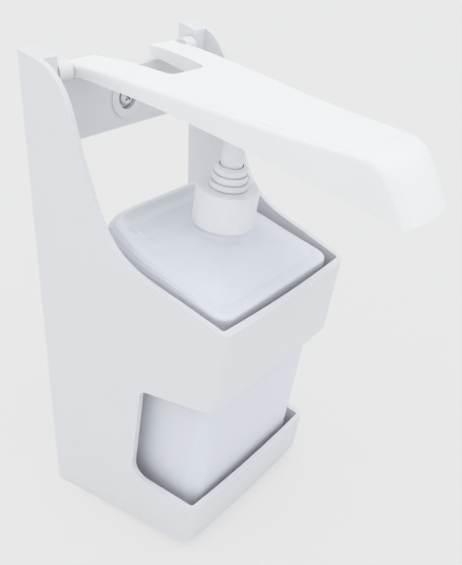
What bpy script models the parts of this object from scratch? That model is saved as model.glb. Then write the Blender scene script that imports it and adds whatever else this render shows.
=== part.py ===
"""Elbow-operated sanitizer dispenser: wall holder, lever, bottle and pump.

Metres, +Z up, +X to the right, front at -Y. The wall is the plane y = 0, and
the origin is the middle of the low back wall's flat outer face. Heights in
the sizes below are taken from the holder's lower back edge.
"""
from math import acos, asin, atan, atan2, ceil, cos, hypot, pi, radians, sin, sqrt, tan

import bmesh
import bpy
from mathutils import Matrix, Vector

# Clearances
FIT_GAP = 0.0003
SLIDE_GAP = 0.0002
CUT_SPARE = 0.006

# Bottle
BOTTLE_WIDTH = 0.091
BOTTLE_DEPTH = 0.0835
BOTTLE_SET_BACK = 0.00075
BOTTLE_CORNER_RADIUS = 0.008
BOTTLE_FOOT_ROUND = 0.004
BOTTLE_WALL = 0.0013
BOTTLE_SIDE_GAP = 0.00482
BOTTLE_FRONT_GAP = 0.00234
BOTTLE_REAR_GAP = 0.0028
SHOULDER_DROP = 0.0310
SHOULDER_ROUND = 0.0080
SHOULDER_SLOPE = radians(19)
REAR_LIFT = 0.0125
FRONT_FALL = 0.0050
NECK_WALL = 0.0024
NECK_FILLET = 0.004

# Holder
HOLDER_HEIGHT = 0.2514
HOLDER_SIDE_TAPER = 0.070
HOLDER_LEAN = radians(7.6)
HOLDER_WALL = 0.003
FRONT_CORNER_RADIUS = 0.0045
FRONT_BOW = 0.0012
FOOT_RISE = 0.0044
FLOOR_HEIGHT = 0.0105
FLOOR_FRONT_LAND = 0.0174
BACK_WALL_HEIGHT = 0.030
EAR_THICKNESS = 0.0122
EAR_DEPTH = 0.0120
EAR_HEIGHT = 0.0214
CROSSBAR_DROP = 0.0160
CROSSBAR_HEIGHT = 0.0299
CROSSBAR_DEPTH = 0.0065
BAND_TOP_HEIGHT = 0.1425

# Wall screw and its seat
SCREW_SHANK_RADIUS = 0.0022
SCREW_HEAD_RIM = 0.0020
SCREW_HEAD_HEIGHT = 0.0026
SCREW_HOLE_GAP = 0.0004
SCREW_RECESS_WIDTH = 0.0011
SCREW_RECESS_RIM = 0.0019
SCREW_RECESS_DEPTH = 0.0015
WASHER_RIM = 0.0034
WASHER_THICKNESS = 0.0009
SEAT_GAP = 0.0006
SEAT_FLOOR = 0.0035
SEAT_RING_WIDTH = 0.0043
SEAT_RING_HEIGHT = 0.0010

# Panel front edge, from the ear's top front corner down to the band
CURVE_DEPTH = 0.1165
PANEL_CURVE_SHARES = (
    (0.103, 0.028), (0.146, 0.047), (0.187, 0.087), (0.221, 0.140),
    (0.246, 0.206), (0.268, 0.293), (0.294, 0.396), (0.326, 0.500),
    (0.364, 0.612), (0.401, 0.693), (0.443, 0.756), (0.495, 0.803),
    (0.563, 0.842), (0.653, 0.875), (0.757, 0.905), (0.860, 0.938),
    (0.937, 0.963), (0.974, 0.978), (1.000, 1.000),
)

# Window and lip
WINDOW_BACK_DEPTH = 0.0575
WINDOW_LIP_BACK = 0.0340
WINDOW_HEIGHT = 0.0598
LIP_FALL_SHARE = 0.080
WINDOW_TOP_RADIUS = 0.0045
WINDOW_FOOT_RADIUS = 0.0085

# Screw cap, with its top this far below the ears' top
CAP_DROP = 0.0610
CAP_RADIUS = 0.0158
CAP_WALL = 0.0019
CAP_HEIGHT = 0.0192
CAP_TOP_THICKNESS = 0.0016
CAP_EDGE_ROUND = 0.0012
CAP_THREAD_GAP = 0.0005
CAP_RIB_DEPTH = 0.0003
CAP_RIB_COUNT = 60
CAP_RIM_HEIGHT = 0.0016

# Gasket and pump body
GASKET_THICKNESS = 0.001
PUMP_FLANGE_INSET = 0.0005
PUMP_FLANGE_THICKNESS = 0.0012
CYLINDER_BORE = 0.0076
CYLINDER_WALL = 0.0012
CYLINDER_SEAT_DROP = 0.060
CYLINDER_CONE_LENGTH = 0.006
VALVE_HOLE_RADIUS = 0.0018
VALVE_HOLE_LENGTH = 0.0027
INLET_BALL_RADIUS = 0.0025
OUTLET_BALL_RADIUS = 0.0017
BALL_SIDE_GAP = 0.0008
VALVE_CHAMBER_LENGTH = 0.0073
DIP_TUBE_RADIUS = 0.0031
DIP_TUBE_WALL = 0.0009
DIP_SOCKET_LENGTH = 0.010
DIP_SOCKET_WALL = 0.0016
DIP_TUBE_END_GAP = 0.004

# Pump collar
COLLAR_SLEEVE_WALL = 0.0013
COLLAR_SLEEVE_DROP = 0.018
COLLAR_TOP_RIM = 0.0023
COLLAR_RING_STEP = 0.0007
COLLAR_BASE_STEP = 0.0011
COLLAR_GROOVE_DEPTH = 0.0008
COLLAR_BASE_HEIGHT = 0.0028
COLLAR_GROOVE_HEIGHT = 0.0007
COLLAR_RING_HEIGHT = 0.0030
COLLAR_TOP_HEIGHT = 0.0026
COLLAR_CONE_HEIGHT = 0.0010

# Plunger
SKIRT_TAPER = 0.0004
SKIRT_WALL = 0.0016
SKIRT_FOOT_DROP = 0.001
HEAD_FOOT_RISE = 0.0250
HEAD_HEIGHT = 0.0166
HEAD_RADIUS = 0.0095
HEAD_ROUND = 0.0022
SPOUT_RADIUS = 0.0038
SPOUT_TIP_RADIUS = 0.0028
SPOUT_REACH = 0.0470
SPOUT_ROOT_DROP = 0.0085
SPOUT_FALL = 0.0050
SPOUT_TIP_LENGTH = 0.0065
DUCT_RADIUS = 0.0016
STEM_BORE = 0.0011
STEM_TOP_INSET = 0.0055
STEM_FLANGE_GAP = 0.0012
STEM_FLANGE_THICKNESS = 0.0015
OUTLET_CUP_DEPTH = 0.0035
PISTON_TOP_GAP = 0.0018
PISTON_LIP_HEIGHT = 0.0013
PISTON_LIP_DEPTH = 0.0009
PISTON_WAIST_HEIGHT = 0.0026

# Return spring
SPRING_WIRE_RADIUS = 0.0005
SPRING_FLANGE_INSET = 0.0011
SPRING_TURNS = 9
SPRING_POINTS_PER_TURN = 10

# Lever and its pivots
PIVOT_DEPTH = 0.0086
PIVOT_DROP = 0.0108
PIVOT_COVER = 0.0013
PIVOT_PIN_RADIUS = 0.0015
PIVOT_PIN_IN_LEVER = 0.0080
PIVOT_PIN_END_COVER = 0.0052
SPACER_RADIUS = 0.0046
LEVER_SIDE_GAP = 0.0079
LEVER_REACH = 0.1746
LEVER_TOP_FALL = 0.0399
LEVER_FOOT_FALL = 0.0332
LEVER_NOSE_RAKE = 0.0041
LEVER_TAPER = 0.1166
LEVER_WALL = 0.0025
LEVER_EDGE_ROUND = 0.0023
LEVER_GROOVE_DEPTH = 0.0003
LEVER_GROOVE_WIDTH = 0.0011
LEVER_CROWN = 0.0005
LEVER_NOSE_BOW = 0.0058
LEVER_NOSE_POWER = 2.4
LEVER_SOLID_END = 0.0200
TINE_WIDTH = 0.0201
SLOT_NARROWING = 0.0076
SLOT_DEPTH = 0.0485
SLOT_CORNER_RADIUS = 0.0045
PRESS_RIB_RADIUS = 0.0013
PRESS_RIB_HALF_LENGTH = 0.012

# Lever side outline: reach and fall as shares of the lever's own sizes
LEVER_TOP_SHARES = (
    (0.026, 0.000), (0.115, 0.008), (0.190, 0.033), (0.258, 0.068),
    (0.344, 0.113), (0.458, 0.173), (0.596, 0.248), (0.727, 0.306),
    (0.848, 0.341), (0.882, 0.358), (0.908, 0.398), (0.931, 0.479),
    (0.951, 0.594), (0.971, 0.744), (0.990, 0.902), (1.000, 1.000),
)
LEVER_FOOT_SHARES = (
    (0.027, 0.000), (0.088, 0.006), (0.158, 0.048), (0.288, 0.151),
    (0.414, 0.277), (0.536, 0.419), (0.645, 0.545), (0.757, 0.681),
    (0.862, 0.813), (0.964, 0.952), (1.000, 1.000),
)
LEVER_NOSE_SHARE = 0.87

# Mesh fineness
ROUND_SEGMENTS = 48
SMALL_SEGMENTS = 24
CORNER_SEGMENTS = 5
CURVE_STEPS = 3
BOTTLE_CORNER_STEPS = 7
BOTTLE_SIDE_STEPS = 5
PATH_STEPS = 7
SMOOTH_ANGLE = radians(38)
QUARTER = pi / 2

# Places that follow from the sizes
BACK_MIDDLE = BACK_WALL_HEIGHT / 2
LEAN_SLOPE = tan(HOLDER_LEAN)
CAP_TOP_HEIGHT = HOLDER_HEIGHT - CAP_DROP
BOTTLE_REAR = (BOTTLE_DEPTH / 2 + BOTTLE_SET_BACK) / cos(HOLDER_LEAN)
BOTTLE_FRONT = (BOTTLE_DEPTH / 2 - BOTTLE_SET_BACK) / cos(HOLDER_LEAN)
AXIS_FOOT_DEPTH = HOLDER_WALL + BOTTLE_REAR_GAP + BOTTLE_REAR
PUMP_AXIS_DEPTH = AXIS_FOOT_DEPTH + LEAN_SLOPE * CAP_TOP_HEIGHT
HOLDER_FOOT_DEPTH = AXIS_FOOT_DEPTH + BOTTLE_FRONT + BOTTLE_FRONT_GAP + HOLDER_WALL
HALF_BACK = BOTTLE_WIDTH / 2 + BOTTLE_SIDE_GAP + HOLDER_WALL + HOLDER_SIDE_TAPER * HOLDER_FOOT_DEPTH
FLOOR_DROP = (CAP_TOP_HEIGHT - FLOOR_HEIGHT) * cos(HOLDER_LEAN)
BOTTLE_DROP = FLOOR_DROP - FIT_GAP
FLOOR_UNDER_END = HOLDER_FOOT_DEPTH - FLOOR_FRONT_LAND
CROSSBAR_TOP = HOLDER_HEIGHT - CROSSBAR_DROP
CROSSBAR_BOTTOM = CROSSBAR_TOP - CROSSBAR_HEIGHT
EAR_FOOT = HOLDER_HEIGHT - EAR_HEIGHT
CURVE_DROP = HOLDER_HEIGHT - BAND_TOP_HEIGHT
WINDOW_TOP_BACK = WINDOW_LIP_BACK + WINDOW_HEIGHT

SCREW_HEIGHT = (CROSSBAR_BOTTOM + CROSSBAR_TOP) / 2
SCREW_HOLE_RADIUS = SCREW_SHANK_RADIUS + SCREW_HOLE_GAP
SCREW_HEAD_RADIUS = SCREW_SHANK_RADIUS + SCREW_HEAD_RIM
SCREW_RECESS_REACH = SCREW_HEAD_RADIUS - SCREW_RECESS_RIM
WASHER_RADIUS = SCREW_SHANK_RADIUS + WASHER_RIM
SEAT_RADIUS = WASHER_RADIUS + SEAT_GAP
SEAT_RING_RADIUS = SEAT_RADIUS + SEAT_RING_WIDTH

NECK_RADIUS = CAP_RADIUS - CAP_WALL - CAP_THREAD_GAP
NECK_TOP_DROP = CAP_TOP_THICKNESS + PUMP_FLANGE_THICKNESS + GASKET_THICKNESS + 3 * FIT_GAP
PUMP_FLANGE_RADIUS = NECK_RADIUS - PUMP_FLANGE_INSET
CYLINDER_FOOT_DROP = CYLINDER_SEAT_DROP + CYLINDER_CONE_LENGTH
SKIRT_RADIUS = CYLINDER_BORE - COLLAR_SLEEVE_WALL - 2 * FIT_GAP
SKIRT_TOP_RADIUS = SKIRT_RADIUS - SKIRT_TAPER
STEM_RADIUS = SKIRT_TOP_RADIUS - SKIRT_WALL - FIT_GAP
COLLAR_TOP_RADIUS = SKIRT_RADIUS + COLLAR_TOP_RIM
COLLAR_RING_RADIUS = COLLAR_TOP_RADIUS + COLLAR_RING_STEP
COLLAR_BASE_RADIUS = COLLAR_RING_RADIUS + COLLAR_BASE_STEP
HEAD_TOP_RISE = HEAD_FOOT_RISE + HEAD_HEIGHT
STEM_TOP_RISE = HEAD_FOOT_RISE - STEM_TOP_INSET
STEM_FOOT_DROP = COLLAR_SLEEVE_DROP + PISTON_TOP_GAP + 2 * PISTON_LIP_HEIGHT + PISTON_WAIST_HEIGHT
STEM_FLANGE_RADIUS = CYLINDER_BORE - STEM_FLANGE_GAP
SPRING_COIL_RADIUS = STEM_FLANGE_RADIUS - SPRING_FLANGE_INSET

PIVOT_HEIGHT = HOLDER_HEIGHT - PIVOT_DROP
PIVOT_PIN_IN_EAR = EAR_THICKNESS - PIVOT_PIN_END_COVER
LEVER_BACK_HALF_WIDTH = HALF_BACK - EAR_THICKNESS - LEVER_SIDE_GAP
LEVER_TOP_REAR = PIVOT_HEIGHT + PIVOT_PIN_RADIUS + PIVOT_COVER
LEVER_TINE_HEIGHT = 2 * (PIVOT_PIN_RADIUS + PIVOT_COVER)
LEVER_FOOT_REACH = LEVER_REACH - LEVER_NOSE_RAKE
SLOT_REAR_HALF_WIDTH = LEVER_BACK_HALF_WIDTH - TINE_WIDTH
SLOT_FRONT_HALF_WIDTH = SLOT_REAR_HALF_WIDTH - SLOT_NARROWING

PUMP_TOP = Vector((0, -PUMP_AXIS_DEPTH, CAP_TOP_HEIGHT - BACK_MIDDLE))
PIVOT = Vector((0, -PIVOT_DEPTH, PIVOT_HEIGHT - BACK_MIDDLE))
PUMP_TURN = Matrix.Rotation(HOLDER_LEAN, 4, "X")


def clear_scene():
    for item in list(bpy.data.objects):
        bpy.data.objects.remove(item, do_unlink=True)
    for group in list(bpy.data.collections):
        bpy.data.collections.remove(group)


def plastic(name, color, roughness, transmission=0.0, metallic=0.0):
    material = bpy.data.materials.new(name)
    material.use_nodes = True
    shader = material.node_tree.nodes["Principled BSDF"]
    shader.inputs["Base Color"].default_value = (*color, 1)
    shader.inputs["Roughness"].default_value = roughness
    shader.inputs["Metallic"].default_value = metallic
    shader.inputs["Transmission Weight"].default_value = transmission
    material.diffuse_color = (*color, 1)
    return material


def new_object(name, mesh_data, group, origin=Vector((0, 0, 0)), turn=None):
    mesh = bpy.data.meshes.new(name)
    mesh_data.to_mesh(mesh)
    mesh_data.free()
    item = bpy.data.objects.new(name, mesh)
    item.matrix_world = Matrix.Translation(origin) @ (turn or Matrix.Identity(4))
    group.objects.link(item)
    return item


def face_out(mesh_data):
    bmesh.ops.recalc_face_normals(mesh_data, faces=mesh_data.faces)
    return mesh_data


def ring_mesh(rings, closed_along=False):
    """Skins rings with the same number of points, with flat ends unless closed."""
    mesh_data = bmesh.new()
    rows = [[mesh_data.verts.new(point) for point in ring] for ring in rings]
    count = len(rows[0])
    pairs = list(zip(rows, rows[1:]))
    if closed_along:
        pairs.append((rows[-1], rows[0]))
    for low, high in pairs:
        for index in range(count):
            following = (index + 1) % count
            mesh_data.faces.new((low[index], low[following], high[following], high[index]))
    if not closed_along:
        mesh_data.faces.new(list(reversed(rows[0])))
        mesh_data.faces.new(rows[-1])
    return face_out(mesh_data)


def turned_mesh(profile, segments, outline=None):
    """Turns a closed profile of radius and height about the Z axis."""
    rings = []
    for index in range(segments):
        angle = 2 * pi * index / segments
        scale = outline(index) if outline else 0
        ring = []
        for radius, height in profile:
            size = radius + scale if radius > CAP_RADIUS - CAP_RIB_DEPTH / 2 else radius
            ring.append(Vector((size * cos(angle), size * sin(angle), height)))
        rings.append(ring)
    return ring_mesh(rings, closed_along=True)


def rod_mesh(profile, segments):
    """Turns a profile of radius and height about the Z axis, with flat ends."""
    rings = []
    for radius, height in profile:
        ring = []
        for index in range(segments):
            angle = 2 * pi * index / segments
            ring.append(Vector((radius * cos(angle), radius * sin(angle), height)))
        rings.append(ring)
    return ring_mesh(rings)


def prism_mesh(outline, start, end, place):
    """Extrudes a closed outline of pairs; place turns a pair and a depth into a point."""
    rings = [[place(first, second, depth) for first, second in outline] for depth in (start, end)]
    return ring_mesh(rings)


def across(depth, height, side):
    return Vector((side, -depth, height - BACK_MIDDLE))


def upward(side, depth, height):
    return Vector((side, -depth, height - BACK_MIDDLE))


def forward(side, height, depth):
    return Vector((side, -depth, height - BACK_MIDDLE))


def smooth_line(points, steps):
    """A smooth line through the points, with steps pieces between neighbours."""
    line = []
    for index in range(len(points) - 1):
        before = Vector(points[max(index - 1, 0)])
        here = Vector(points[index])
        there = Vector(points[index + 1])
        after = Vector(points[min(index + 2, len(points) - 1)])
        for step in range(steps):
            share = step / steps
            pull = (there - before) * share
            bend = (2 * before - 5 * here + 4 * there - after) * share ** 2
            turn = (3 * here - before - 3 * there + after) * share ** 3
            line.append(here + (pull + bend + turn) / 2)
    line.append(Vector(points[-1]))
    return line


def rounded_corner(before, corner, after, radius, steps):
    """Points of the arc that rounds a corner between two straight sides."""
    corner = Vector(corner)
    first = (Vector(before) - corner).normalized()
    second = (Vector(after) - corner).normalized()
    half = acos(max(-1, min(1, first.dot(second)))) / 2
    reach = radius / tan(half)
    centre = corner + (first + second).normalized() * (radius / sin(half))
    start = corner + first * reach - centre
    sweep = start.angle_signed(corner + second * reach - centre)
    arc = []
    for step in range(steps + 1):
        arc.append(centre + Matrix.Rotation(-sweep * step / steps, 2) @ start)
    return arc


def boolean(target, tool, operation):
    modifier = target.modifiers.new(tool.name, "BOOLEAN")
    modifier.operation = operation
    modifier.solver = "EXACT"
    modifier.object = tool
    return modifier


def finish(item, material):
    item.data.materials.clear()
    item.data.materials.append(material)
    mesh = item.data
    mesh.polygons.foreach_set("use_smooth", [True] * len(mesh.polygons))
    mesh.set_sharp_from_angle(angle=SMOOTH_ANGLE)
    mesh.update()


def settle(item, material):
    """Keeps the shape that the modifiers give as the object's own mesh."""
    bpy.context.view_layer.update()
    graph = bpy.context.evaluated_depsgraph_get()
    made = bpy.data.meshes.new_from_object(item.evaluated_get(graph))
    item.modifiers.clear()
    item.data = made
    made.name = item.name
    mesh_data = bmesh.new()
    mesh_data.from_mesh(made)
    bmesh.ops.remove_doubles(mesh_data, verts=mesh_data.verts, dist=SPRING_WIRE_RADIUS / 100)
    bmesh.ops.dissolve_degenerate(mesh_data, edges=mesh_data.edges, dist=SPRING_WIRE_RADIUS / 100)
    bmesh.ops.triangulate(mesh_data, faces=mesh_data.faces)
    mesh_data.to_mesh(made)
    mesh_data.free()
    finish(item, material)


def side_half_width(depth, inset):
    return HALF_BACK - HOLDER_SIDE_TAPER * depth - inset


def front_depth(height, inset):
    return HOLDER_FOOT_DEPTH + LEAN_SLOPE * height - inset


def floor_height(depth, drop):
    """Height of the plane square to the pump axis, drop below the cap's top."""
    return CAP_TOP_HEIGHT - (drop + (depth - PUMP_AXIS_DEPTH) * sin(HOLDER_LEAN)) / cos(HOLDER_LEAN)


def plan_outline(height, inset, back_depth, radius):
    """Holder outline at one height, from the back left round the front."""
    front = front_depth(height, inset)
    back_half = side_half_width(back_depth, inset)
    front_half = side_half_width(front, inset)
    left_back = (-back_half, back_depth)
    left_front = (-front_half, front)
    right_front = (front_half, front)
    right_back = (back_half, back_depth)
    left_arc = rounded_corner(left_back, left_front, right_front, radius, CORNER_SEGMENTS)
    right_arc = rounded_corner(left_front, right_front, right_back, radius, CORNER_SEGMENTS)
    points = [Vector(left_back), *left_arc]
    start = left_arc[-1]
    end = right_arc[0]
    steps = 2 * CORNER_SEGMENTS
    for step in range(1, steps):
        share = step / steps
        point = start.lerp(end, share)
        point.y += FRONT_BOW * 4 * share * (1 - share)
        points.append(point)
    points.extend([*right_arc, Vector(right_back)])
    return points


def holder_skin(inset, back_depth, radius, low, high):
    """Skin between two heights; each height may be a number or a function of depth."""
    rings = []
    for level in (low, high):
        guess = level if not callable(level) else level(HOLDER_FOOT_DEPTH)
        outline = plan_outline(guess, inset, back_depth, radius)
        ring = []
        for point in outline:
            height = level(point.y) if callable(level) else level
            ring.append(upward(point.x, point.y, height))
        rings.append(ring)
    return ring_mesh(rings)


def box_mesh(side_low, side_high, depth_low, depth_high, low, high):
    outline = ((side_low, depth_low), (side_high, depth_low), (side_high, depth_high), (side_low, depth_high))
    return prism_mesh(outline, low, high, upward)


def build_holder(group, cutters, material):
    beyond = HALF_BACK + CUT_SPARE
    top = HOLDER_HEIGHT + CUT_SPARE
    inner_radius = FRONT_CORNER_RADIUS - HOLDER_WALL
    holder = new_object("holder", holder_skin(0, 0, FRONT_CORNER_RADIUS, 0, HOLDER_HEIGHT), group)

    def floor_top(depth):
        return floor_height(depth, FLOOR_DROP)

    def floor_under(depth):
        return floor_height(depth, FLOOR_DROP + HOLDER_WALL)

    inside = holder_skin(HOLDER_WALL, HOLDER_WALL, inner_radius, floor_top, top)
    boolean(holder, new_object("cut_inside", inside, cutters), "DIFFERENCE")
    half = side_half_width(0, HOLDER_WALL)
    back = box_mesh(-half, half, -CUT_SPARE, HOLDER_WALL + CUT_SPARE, BACK_WALL_HEIGHT, top)
    boolean(holder, new_object("cut_back", back, cutters), "DIFFERENCE")
    back_under = floor_under(HOLDER_WALL)
    end_under = floor_under(FLOOR_UNDER_END)
    back_half = side_half_width(HOLDER_WALL, HOLDER_WALL)
    end_half = side_half_width(FLOOR_UNDER_END, HOLDER_WALL)
    corners = ((-back_half, HOLDER_WALL), (back_half, HOLDER_WALL), (end_half, FLOOR_UNDER_END), (-end_half, FLOOR_UNDER_END))
    heights = (back_under, back_under, end_under, end_under)
    low_ring = [upward(side, depth, -CUT_SPARE) for side, depth in corners]
    high_ring = [upward(side, depth, height) for (side, depth), height in zip(corners, heights)]
    boolean(holder, new_object("cut_under", ring_mesh([low_ring, high_ring]), cutters), "DIFFERENCE")

    # Crossbar between the panels, a channel that opens to the wall
    reach = side_half_width(0, HOLDER_WALL / 2)
    bar = box_mesh(-reach, reach, 0, CROSSBAR_DEPTH, CROSSBAR_BOTTOM, CROSSBAR_TOP)
    boolean(holder, new_object("add_crossbar", bar, cutters), "UNION")
    for sign, side in ((-1, "left"), (1, "right")):
        inner = sign * (HALF_BACK - EAR_THICKNESS)
        outer = sign * (HALF_BACK - HOLDER_WALL / 2)
        low, high = sorted((inner, outer))
        ear = box_mesh(low, high, 0, EAR_DEPTH, EAR_FOOT, HOLDER_HEIGHT)
        boolean(holder, new_object("add_ear_" + side, ear, cutters), "UNION")
    seat_place = Vector((0, -CROSSBAR_DEPTH, SCREW_HEIGHT - BACK_MIDDLE))
    outward = Matrix.Rotation(QUARTER, 4, "X")
    ring_profile = ((SEAT_RING_RADIUS, -HOLDER_WALL / 2), (SEAT_RING_RADIUS, SEAT_RING_HEIGHT))
    ring = rod_mesh(ring_profile, ROUND_SEGMENTS)
    boolean(holder, new_object("add_screw_seat", ring, cutters, seat_place, outward), "UNION")
    bay_half = (half - SEAT_RING_RADIUS - HOLDER_WALL) / 2
    bay_low = CROSSBAR_BOTTOM + HOLDER_WALL
    bay_high = CROSSBAR_TOP - HOLDER_WALL
    for sign, side in ((-1, "left"), (1, "right")):
        middle = sign * (SEAT_RING_RADIUS + bay_half)
        bay = box_mesh(middle - bay_half, middle + bay_half, -CUT_SPARE, CROSSBAR_DEPTH - HOLDER_WALL, bay_low, bay_high)
        boolean(holder, new_object("cut_crossbar_" + side, bay, cutters), "DIFFERENCE")

    # S-shaped front edge of the panels, cut right across
    curve = [(share[0] * CURVE_DEPTH, HOLDER_HEIGHT - share[1] * CURVE_DROP) for share in PANEL_CURVE_SHARES]
    edge = smooth_line(curve, CURVE_STEPS)
    ear_slope = (HOLDER_HEIGHT - edge[0].y) / edge[0].x
    start = Vector((-CUT_SPARE, HOLDER_HEIGHT + ear_slope * CUT_SPARE))
    past = front_depth(HOLDER_HEIGHT, 0) + CUT_SPARE
    end = Vector((past, edge[-1].y - LEAN_SLOPE * (past - CURVE_DEPTH)))
    above = HOLDER_HEIGHT + 2 * CUT_SPARE
    outline = [start, *edge, end, Vector((end.x, above)), Vector((start.x, above))]
    curve_cut = prism_mesh([tuple(point) for point in outline], -beyond, beyond, across)
    boolean(holder, new_object("cut_curve", curve_cut, cutters), "DIFFERENCE")

    # Wrap-round window
    far = CURVE_DEPTH + CUT_SPARE
    lean_share = LEAN_SLOPE
    top_back = Vector((WINDOW_BACK_DEPTH + lean_share * (WINDOW_TOP_BACK - WINDOW_LIP_BACK), WINDOW_TOP_BACK))
    foot_back = Vector((WINDOW_BACK_DEPTH, WINDOW_LIP_BACK))
    top_front = Vector((far, WINDOW_TOP_BACK + lean_share * (far - top_back.x)))
    foot_front = Vector((far, WINDOW_LIP_BACK - LIP_FALL_SHARE * (far - foot_back.x)))
    top_arc = rounded_corner(top_front, top_back, foot_back, WINDOW_TOP_RADIUS, CORNER_SEGMENTS)
    foot_arc = rounded_corner(top_back, foot_back, foot_front, WINDOW_FOOT_RADIUS, CORNER_SEGMENTS)
    outline = [top_front, *top_arc, *foot_arc, foot_front]
    window = prism_mesh([tuple(point) for point in outline], -beyond, beyond, across)
    boolean(holder, new_object("cut_window", window, cutters), "DIFFERENCE")

    # The lower edge rises a little towards the front
    far_rise = FOOT_RISE * far / HOLDER_FOOT_DEPTH
    outline = ((-CUT_SPARE, -CUT_SPARE), (0, 0), (far, far_rise), (far, -CUT_SPARE))
    foot = prism_mesh(outline, -beyond, beyond, across)
    boolean(holder, new_object("cut_foot", foot, cutters), "DIFFERENCE")

    # Screw hole and the two blind pin holes
    seat_profile = (
        (SCREW_HOLE_RADIUS, -CROSSBAR_DEPTH - CUT_SPARE), (SCREW_HOLE_RADIUS, SEAT_FLOOR - CROSSBAR_DEPTH),
        (SEAT_RADIUS, SEAT_FLOOR - CROSSBAR_DEPTH), (SEAT_RADIUS, CUT_SPARE),
    )
    seat = rod_mesh(seat_profile, ROUND_SEGMENTS)
    boolean(holder, new_object("cut_screw_seat", seat, cutters, seat_place, outward), "DIFFERENCE")
    for sign, side in ((-1, "left"), (1, "right")):
        depth = PIVOT_PIN_IN_EAR + FIT_GAP
        radius = PIVOT_PIN_RADIUS + FIT_GAP
        profile = ((radius, -CUT_SPARE), (radius, depth))
        place = PIVOT + Vector((sign * (HALF_BACK - EAR_THICKNESS), 0, 0))
        hole = new_object("cut_pin_hole_" + side, rod_mesh(profile, SMALL_SEGMENTS), cutters, place, Matrix.Rotation(sign * QUARTER, 4, "Y"))
        boolean(holder, hole, "DIFFERENCE")
    settle(holder, material)
    return holder


def build_wall_screw(group, cutters, washer_material, screw_material):
    """Washer and pan head screw in the seat, down to the plane of the wall."""
    place = Vector((0, 0, SCREW_HEIGHT - BACK_MIDDLE))
    outward = Matrix.Rotation(QUARTER, 4, "X")
    washer_low = SEAT_FLOOR + FIT_GAP
    washer_high = washer_low + WASHER_THICKNESS
    hole = SCREW_SHANK_RADIUS + FIT_GAP
    profile = ((hole, washer_low), (WASHER_RADIUS, washer_low), (WASHER_RADIUS, washer_high), (hole, washer_high))
    washer = new_object("wall_screw_washer", turned_mesh(profile, ROUND_SEGMENTS), group, place, outward)
    finish(washer, washer_material)
    head_low = washer_high + FIT_GAP
    top = head_low + SCREW_HEAD_HEIGHT
    profile = [(SCREW_SHANK_RADIUS, FIT_GAP), (SCREW_SHANK_RADIUS, head_low), (SCREW_HEAD_RADIUS, head_low)]
    for step in range(CORNER_SEGMENTS):
        angle = QUARTER * step / CORNER_SEGMENTS
        radius = SCREW_HEAD_RADIUS * (1 + cos(angle)) / 2
        profile.append((radius, head_low + SCREW_HEAD_HEIGHT * (1 + sin(angle)) / 2))
    screw = new_object("wall_screw", rod_mesh(profile, ROUND_SEGMENTS), group, place, outward)
    wide = SCREW_RECESS_REACH
    thin = SCREW_RECESS_WIDTH / 2
    outline = (
        (wide, -thin), (wide, thin), (thin, thin), (thin, wide), (-thin, wide), (-thin, thin),
        (-wide, thin), (-wide, -thin), (-thin, -thin), (-thin, -wide), (thin, -wide), (thin, -thin),
    )
    rings = [[Vector((*point, height)) for point in outline] for height in (top - SCREW_RECESS_DEPTH, top + CUT_SPARE)]
    recess = new_object("cut_screw_recess", ring_mesh(rings), cutters, place, outward @ Matrix.Rotation(QUARTER / 2, 4, "Z"))
    boolean(screw, recess, "DIFFERENCE")
    settle(screw, screw_material)


def lever_half_width(depth):
    return LEVER_BACK_HALF_WIDTH - LEVER_TAPER * depth


def lever_top_line():
    points = [(share[0] * LEVER_REACH, LEVER_TOP_REAR - share[1] * LEVER_TOP_FALL) for share in LEVER_TOP_SHARES]
    return smooth_line(points, CURVE_STEPS)


def lever_foot_line():
    start = LEVER_TOP_REAR - LEVER_TINE_HEIGHT
    points = [(share[0] * LEVER_FOOT_REACH, start - share[1] * LEVER_FOOT_FALL) for share in LEVER_FOOT_SHARES]
    return smooth_line(points, CURVE_STEPS)


def height_on(line, depth):
    for first, second in zip(line, line[1:]):
        if first.x <= depth <= second.x:
            return first.y + (second.y - first.y) * (depth - first.x) / (second.x - first.x)
    return line[0].y if depth < line[0].x else line[-1].y


def line_normals(line):
    normals = []
    for index in range(len(line)):
        before = line[max(index - 1, 0)]
        after = line[min(index + 1, len(line) - 1)]
        along = (after - before).normalized()
        normals.append(Vector((-along.y, along.x)))
    return normals


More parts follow.
